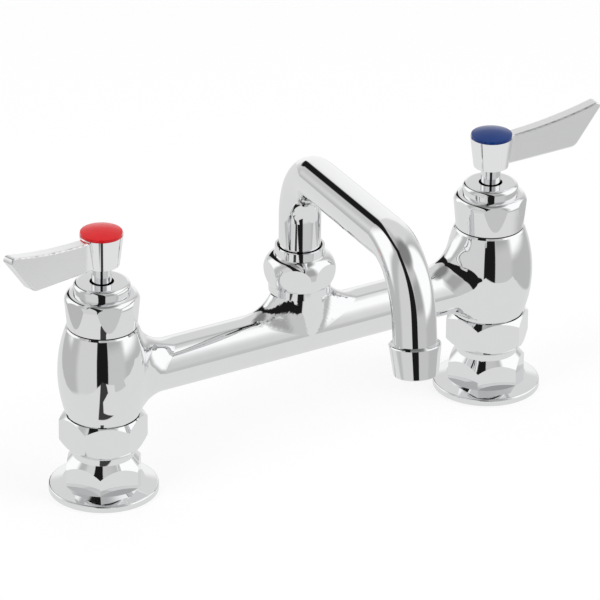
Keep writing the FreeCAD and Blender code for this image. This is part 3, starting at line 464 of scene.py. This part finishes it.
class FAUCET_OT_chrome(bpy.types.Operator):
    """Plate the casting, the spout and the turned pieces"""

    bl_idname = "faucet.chrome"
    bl_label = "Chrome plating"

    def execute(self, context):
        look = context.scene.faucet_finishes
        all_ways, round_about = (1, 1, 1), (6, 6, 1)
        cast = chrome_finish("cast_chrome", look, look.cast_ripple, look.cast_wave, all_ways)
        drawn = chrome_finish("drawn_chrome", look, look.turned_ripple, look.drawn_wave, all_ways)
        turned = chrome_finish("turned_chrome", look, look.turned_ripple, look.turned_wave, round_about)
        dress(CAST_NODES, cast)
        dress(DRAWN_NODES, drawn)
        dress(TURNED_NODES, turned)
        return {"FINISHED"}


class FAUCET_OT_levers(bpy.types.Operator):
    """Finish the two lever handles"""

    bl_idname = "faucet.levers"
    bl_label = "Lever handles"

    def execute(self, context):
        look = context.scene.faucet_finishes
        for name in LEVER_NODES:
            side = name.split("_")[0]
            low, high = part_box(f"{side}_stem")
            axis = ((low.x + high.x) / 2, (low.y + high.y) / 2, 0)
            low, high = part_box(name)
            far = max((low.x, high.x), key=lambda x: abs(x - axis[0]))
            reach = far - axis[0]
            lean = low.y + high.y
            turn = math.atan2(lean, reach)
            dress([name], lever_finish(f"{side}_satin_chrome", look, axis, turn))
        return {"FINISHED"}


class FAUCET_OT_buttons(bpy.types.Operator):
    """Finish the red and the blue index button"""

    bl_idname = "faucet.buttons"
    bl_label = "Index buttons"

    def execute(self, context):
        look = context.scene.faucet_finishes
        for name, colour in BUTTON_NODES.items():
            dress([name], button_finish(f"{colour}_cap", getattr(look, colour)))
        return {"FINISHED"}


class FAUCET_OT_works(bpy.types.Operator):
    """Finish the seals, discs, cartridges, screws and clips inside"""

    bl_idname = "faucet.works"
    bl_label = "Inner works"

    finishes = {
        "brass": ((0.72, 0.47, 0.18), 1.0, 0.22, 0.0006),
        "steel": ((0.56, 0.55, 0.53), 1.0, 0.26, 0.0005),
        "ceramic": ((0.82, 0.81, 0.78), 0.0, 0.12, 0.002),
        "rubber": ((0.018, 0.018, 0.019), 0.0, 0.55, 0.001),
        "nylon": ((0.74, 0.73, 0.69), 0.0, 0.38, 0.0015),
    }

    def execute(self, context):
        dressed = CAST_NODES + DRAWN_NODES + TURNED_NODES + LEVER_NODES + list(BUTTON_NODES)
        made = {}
        for name, node in frame["nodes"].items():
            if name in dressed:
                continue
            slot = node.material_slots[0].material.name
            if slot not in made:
                made[slot] = machined_finish(f"inner_{slot}", *self.finishes[slot])
            dress([name], made[slot])
        return {"FINISHED"}


class FAUCET_OT_threads(bpy.types.Operator):
    """Wind a pipe thread in each inlet"""

    bl_idname = "faucet.threads"
    bl_label = "Inlet threads"

    def execute(self, context):
        fit = context.scene.faucet_fittings
        board, value = shape_board("inlet_threads", {
            "Turns": "Float", "Pitch": "Float", "Radius": "Float", "Ridge": "Float",
            "First": "Vector", "Spacing": "Vector",
        })
        helix = board.node("GeometryNodeCurveSpiral", None, {
            "Resolution": 48, "Rotations": value("Turns"), "Start Radius": value("Radius"),
            "End Radius": value("Radius"), "Height": value("Turns") * value("Pitch"),
        })
        section = board.node("GeometryNodeCurvePrimitiveCircle", None,
                             {"Resolution": 8, "Radius": value("Ridge")})
        ridge = board.node("GeometryNodeCurveToMesh", None,
                           {"Curve": helix, "Profile Curve": section, "Fill Caps": True})
        inlets = board.node("GeometryNodeMeshLine", None,
                            {"Count": 2, "Start Location": value("First"), "Offset": value("Spacing")})
        both = board.node("GeometryNodeInstanceOnPoints", None, {"Points": inlets, "Instance": ridge})
        close_shape(board, both, bpy.data.materials["turned_chrome"])
        axes = []
        for side in ("hot", "cold"):
            low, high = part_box(f"{side}_inlet_flange")
            axes.append(Vector(((low.x + high.x) / 2, (low.y + high.y) / 2, fit.thread_start)))
        grow(board, {
            "Turns": fit.thread_turns, "Pitch": fit.thread_pitch, "Radius": fit.thread_radius,
            "Ridge": fit.thread_ridge, "First": axes[0], "Spacing": axes[1] - axes[0],
        }, "faucet_body")
        return {"FINISHED"}


class FAUCET_OT_screen(bpy.types.Operator):
    """Weave the wire screen under the stream straightener"""

    bl_idname = "faucet.screen"
    bl_label = "Outlet screen"

    def execute(self, context):
        fit = context.scene.faucet_fittings
        board, value = shape_board("outlet_screen", {
            "Wires": "Int", "Radius": "Float", "Wire": "Float", "Place": "Vector", "Lean": "Vector",
        })
        pitch = 2 * value("Radius") / value("Wires")
        steps_per_pitch = 4

        def row(count, step, axis):
            start = board.node("ShaderNodeCombineXYZ", None, {axis: (1 - count) * step / 2})
            offset = board.node("ShaderNodeCombineXYZ", None, {axis: step})
            return board.node("GeometryNodeMeshLine", None,
                              {"Count": count, "Start Location": start, "Offset": offset})

        wire = row(value("Wires") * steps_per_pitch + 1, pitch / steps_per_pitch, "Y")
        warp = board.node("GeometryNodeInstanceOnPoints", None,
                          {"Points": row(value("Wires"), pitch, "X"), "Instance": wire})
        warp = board.node("GeometryNodeRealizeInstances", None, {"Geometry": warp})
        place = board.node("GeometryNodeInputPosition")
        wave = value("Wire") / 2
        for axis in ("X", "Y"):
            part = board.node("ShaderNodeSeparateXYZ", None, {"Vector": place}, axis)
            wave = wave * (part * math.pi / pitch).math("COSINE")
        lift = board.node("ShaderNodeCombineXYZ", None, {"Z": wave})
        warp = board.node("GeometryNodeSetPosition", None, {"Geometry": warp, "Offset": lift})
        weft = board.node("GeometryNodeTransform", None, {
            "Geometry": warp, "Rotation": (0, 0, math.pi / 2), "Scale": (1, 1, -1)})
        weave = board.node("GeometryNodeJoinGeometry", None, {"Geometry": [warp, weft]})
        reach = board.node("ShaderNodeVectorMath", {"operation": "LENGTH"}, {0: place}, "Value")
        weave = board.node("GeometryNodeDeleteGeometry", None, {
            "Geometry": weave, "Selection": reach.math("GREATER_THAN", value("Radius"))})
        curves = board.node("GeometryNodeMeshToCurve", None, {"Mesh": weave})
        section = board.node("GeometryNodeCurvePrimitiveCircle", None,
                             {"Resolution": 6, "Radius": value("Wire") / 2})
        wires = board.node("GeometryNodeCurveToMesh", None,
                           {"Curve": curves, "Profile Curve": section, "Fill Caps": True})
        placed = board.node("GeometryNodeTransform", None, {
            "Geometry": wires, "Translation": value("Place"), "Rotation": value("Lean")})
        close_shape(board, placed, bpy.data.materials["inner_steel"])
        low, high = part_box("stream_straightener")
        out = Vector((-math.sin(fit.spout_turn), -math.cos(fit.spout_turn), 0))
        axis = out * math.sin(fit.spout_slope) - Vector((0, 0, math.cos(fit.spout_slope)))
        grow(board, {
            "Wires": fit.screen_wires, "Radius": fit.screen_radius, "Wire": fit.screen_wire,
            "Place": (low + high) / 2 + axis * fit.screen_drop,
            "Lean": (-fit.spout_slope, 0.0, -fit.spout_turn),
        }, "spout")
        return {"FINISHED"}


class FAUCET_OT_stage(bpy.types.Operator):
    """Set up the pale floor, the soft surroundings, two side lamps and the camera"""

    bl_idname = "faucet.stage"
    bl_label = "Studio"

    # The painted dark reflection, a patch of the floor that only the plating sees, in metres from the hot
    # valve towards the camera and to the left of the picture.
    dark_reflection_length = (0.047, 0.3)
    dark_reflection_left = (0.008, 0.01)
    dark_reflection_right = 0.004
    waist = (0.0605, 0.088)
    waist_slopes = (1.8, 0.9)
    widest_flare = 0.027
    # The notch in the table's front edge runs between these places along the row of valves.
    notch_ends = (-0.105, -0.035)

    # Patches of the surroundings, painted in this order: the level's name, then where the patch starts,
    # where it ends and how soft its edges are, in degrees of bearing and of tilt.
    patches = (
        ("left_wall", (0, 66, 8), None),
        ("right_wall", (-62, 0, 8), None),
        ("right_drape", (-54, -16, 6), (8, 48, 8)),
        ("ceiling", None, (67, 120, 9)),
        ("panel", (92, 136, 8), (-3, 48, 6)),
        ("panel", (-132, -62, 8), (-4, 62, 6)),
        ("table", None, (-120, -32, 2)),
    )
    # The dark frame lies between two ovals about this bearing: their front, back and top half axes.
    frame_middle = 85
    inner_oval = (72.5, 65, 60)
    outer_oval = (101, 80, 72)

    lamp_places = {"left_lamp": (-1.1, -0.1, 1.0), "right_lamp": (0.8, -0.9, 1.1)}
    lamp_size = 0.9

    def execute(self, context):
        studio = context.scene.faucet_studio
        self.floor(studio)
        self.surroundings(context.scene, studio)
        self.lamps(studio)
        self.camera(context.scene, studio)
        context.scene.view_settings.view_transform = "Standard"
        return {"FINISHED"}

    def floor(self, studio):
        """A pale floor, of which the plating mirrors a table with a painted dark reflection by the hot
        valve.
        """
        mesh = bpy.data.meshes.new("floor")
        shape = bmesh.new()
        bmesh.ops.create_circle(shape, cap_ends=True, segments=96, radius=2.0)
        bmesh.ops.translate(shape, verts=shape.verts, vec=(0, 0, -0.0003))
        shape.to_mesh(mesh)
        shape.free()
        floor = bpy.data.objects.new("floor", mesh)
        bpy.context.scene.collection.objects.link(floor)
        material, board = new_finish("floor_white")
        rays = {key: board.node("ShaderNodeLightPath", out=key)
                for key in ("Is Camera Ray", "Is Glossy Ray", "Is Transmission Ray")}
        behind = board.node("ShaderNodeNewGeometry", out="Backfacing")
        place = board.node("ShaderNodeTexCoord", out="Object")
        # For glossy rays the table glows at an even level, with a painted dark reflection by the hot valve.
        mat = self.on_dark_reflection(board, studio, place)
        mirrored = board.node("ShaderNodeEmission", None,
                              {"Color": studio.table + mat * (studio.mat - studio.table)})
        matt = board.node("ShaderNodeBsdfDiffuse", None, {"Color": (0.32, 0.32, 0.32, 1)})
        bright = board.node("ShaderNodeEmission", None, {"Color": (0.74, 0.74, 0.74, 1)})
        seen = board.node("ShaderNodeAddShader", None, {0: matt, 1: bright})
        bounce = board.node("ShaderNodeBsdfDiffuse", None, {"Color": (0.8, 0.8, 0.8, 1)})
        clear = board.node("ShaderNodeBsdfTransparent")

        def pick(mask, first, second):
            return board.node("ShaderNodeMixShader", None, {0: mask, 1: first, 2: second})

        solid = pick(rays["Is Camera Ray"], bounce, seen)
        table = pick(self.on_table(board, studio, place), clear, mirrored)
        solid = pick(rays["Is Glossy Ray"], solid, table)
        solid = pick(rays["Is Transmission Ray"].math("MAXIMUM", behind), solid, clear)
        board.node("ShaderNodeOutputMaterial", None, {"Surface": solid})
        mesh.materials.append(material)

    def on_dark_reflection(self, board, studio, place):
        """One on the painted dark reflection, whose right side flares out on both sides of a narrow waist.
        """
        low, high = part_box("hot_stem")
        spot = board.node("ShaderNodeVectorMath", {"operation": "SUBTRACT"},
                          {0: place, 1: (low + high) / 2})
        toward = board.along(spot, self.ahead(studio))
        aside = board.along(spot, self.aside(studio))
        beyond = (toward - self.waist[1]).math("MAXIMUM", 0.0)
        before = (self.waist[0] - toward).math("MAXIMUM", 0.0)
        flare = self.waist_slopes[1] * beyond + self.waist_slopes[0] * before
        right = aside + self.dark_reflection_right + flare.math("MINIMUM", self.widest_flare)
        mat = board.band(toward, *self.dark_reflection_length, 0.001) * board.rise(right, -0.001, 0.001)
        return mat * (1 - board.rise(aside, *self.dark_reflection_left))

    def on_table(self, board, studio, place):
        """One on the table, behind its notched front edge and between its ends."""
        across = board.along(place, (1, 0, 0))
        edge = studio.edge - studio.notch * board.band(across, *self.notch_ends, 0.004)
        behind_edge = 1 - board.rise(board.along(place, (0, -1, 0)) - edge, -0.003, 0.003)
        return behind_edge * (1 - board.rise(across.math("ABSOLUTE") - studio.reach, -0.005, 0.005))

    def ahead(self, studio):
        """The level direction from the faucet to the camera."""
        return (-math.sin(studio.bearing), -math.cos(studio.bearing), 0)

    def aside(self, studio):
        """The level direction that is left in the picture."""
        return (-math.cos(studio.bearing), math.sin(studio.bearing), 0)

    def surroundings(self, scene, studio):
        """Pale walls with bright panels, a grey drape, a dark frame round the left panel and a table."""
        world = bpy.data.worlds.new("studio")
        world.use_nodes = True
        scene.world = world
        board = Board(world.node_tree)
        ray = board.node("ShaderNodeTexCoord", out="Generated")
        ahead = board.along(ray, self.ahead(studio))
        bearing = board.along(ray, self.aside(studio)).math("ARCTAN2", ahead) * math.degrees(1)
        tilt = board.along(ray, (0, 0, 1)).math("ARCSINE") * math.degrees(1)
        level = studio.wall

        def paint(mask, value):
            return level + mask * (value - level)

        def past_oval(front, back, top):
            """Nought inside an oval about the left panel and one outside it."""
            back_side = board.rise(bearing, self.frame_middle - 10, self.frame_middle + 10)
            power = 3.0 - 1.5 * back_side
            across = (bearing - self.frame_middle).math("ABSOLUTE") / (front + back_side * (back - front))
            oval = across ** power + (tilt.math("MAXIMUM", 0) / top) ** power
            return board.rise(oval, 0.97, 1.03)

        turn = bearing.math("ABSOLUTE")
        level = paint(board.rise(turn, 136, 156), studio.back_wall)
        level = paint(board.rise(turn, 152, 166) * board.band(tilt, -16, 19, 5), studio.back_panel)
        for name, sides, heights in self.patches:
            mask = board.band(bearing, *sides) if sides else 1
            if heights:
                mask = mask * board.band(tilt, *heights)
            level = paint(mask, getattr(studio, name))
        within = past_oval(*self.inner_oval) * (1 - past_oval(*self.outer_oval))
        lifted = tilt - 50 * board.rise(bearing, 120, 150)
        level = paint(within * board.rise(lifted, -48, -44), studio.gap)
        level = paint(board.node("ShaderNodeLightPath", out="Is Camera Ray"), 1.0)
        sky = board.node("ShaderNodeBackground", None, {"Color": level, "Strength": 1.0})
        board.node("ShaderNodeOutputWorld", None, {"Surface": sky})

    def lamps(self, studio):
        """Two soft lamps aimed at the faucet, which the plating doesn't mirror."""
        for name, place in self.lamp_places.items():
            light = bpy.data.lights.new(name, "AREA")
            light.shape = "DISK"
            light.size = self.lamp_size
            light.energy = studio.lamp
            lamp = bpy.data.objects.new(name, light)
            lamp.location = place
            lamp.rotation_euler = Vector(place).to_track_quat("Z", "Y").to_euler()
            lamp.visible_glossy = False
            bpy.context.scene.collection.objects.link(lamp)

    def camera(self, scene, studio):
        """A long lens that looks down at the faucet from the hot side."""
        turn, height = studio.bearing, studio.height
        back = Vector((-math.sin(turn) * math.cos(height), -math.cos(turn) * math.cos(height),
                       math.sin(height)))
        right = Vector((math.cos(turn), -math.sin(turn), 0))
        up = back.cross(right)
        lens = bpy.data.cameras.new("camera")
        lens.sensor_width = 36.0
        lens.lens = studio.lens
        lens.clip_end = 20.0
        eye = bpy.data.objects.new("camera", lens)
        place = Vector(studio.target) + back * studio.distance
        level = Matrix((right, up, back)).transposed().to_4x4()
        eye.matrix_world = Matrix.Translation(place) @ level @ Matrix.Rotation(studio.roll, 4, "Z")
        scene.collection.objects.link(eye)
        scene.camera = eye


class FAUCET_PT_panel(bpy.types.Panel):
    """Finishes, fittings and studio of the faucet"""

    bl_idname = "FAUCET_PT_panel"
    bl_label = "Bridge faucet"
    bl_space_type = "VIEW_3D"
    bl_region_type = "UI"
    bl_category = "Faucet"

    def draw(self, context):
        for step in STEPS:
            self.layout.operator(step.bl_idname)
        for group in GROUPS:
            values = getattr(context.scene, group)
            for key in values.bl_rna.properties.keys():
                if key not in ("rna_type", "name"):
                    self.layout.prop(values, key)


STEPS = (
    FAUCET_OT_chrome, FAUCET_OT_levers, FAUCET_OT_buttons, FAUCET_OT_works,
    FAUCET_OT_threads, FAUCET_OT_screen, FAUCET_OT_stage,
)
GROUPS = {
    "faucet_finishes": FaucetFinishes,
    "faucet_fittings": FaucetFittings,
    "faucet_studio": FaucetStudio,
}


def register():
    for kind in (*GROUPS.values(), *STEPS, FAUCET_PT_panel):
        bpy.utils.register_class(kind)
    for name, kind in GROUPS.items():
        setattr(bpy.types.Scene, name, PointerProperty(type=kind))


def unregister():
    for name in GROUPS:
        delattr(bpy.types.Scene, name)
    for kind in reversed((*GROUPS.values(), *STEPS, FAUCET_PT_panel)):
        bpy.utils.unregister_class(kind)


def main():
    register()
    bpy.ops.faucet.chrome()
    bpy.ops.faucet.levers()
    bpy.ops.faucet.buttons()
    bpy.ops.faucet.works()
    bpy.ops.faucet.threads()
    bpy.ops.faucet.screen()
    bpy.ops.faucet.stage()


if __name__ == "__main__":
    main()
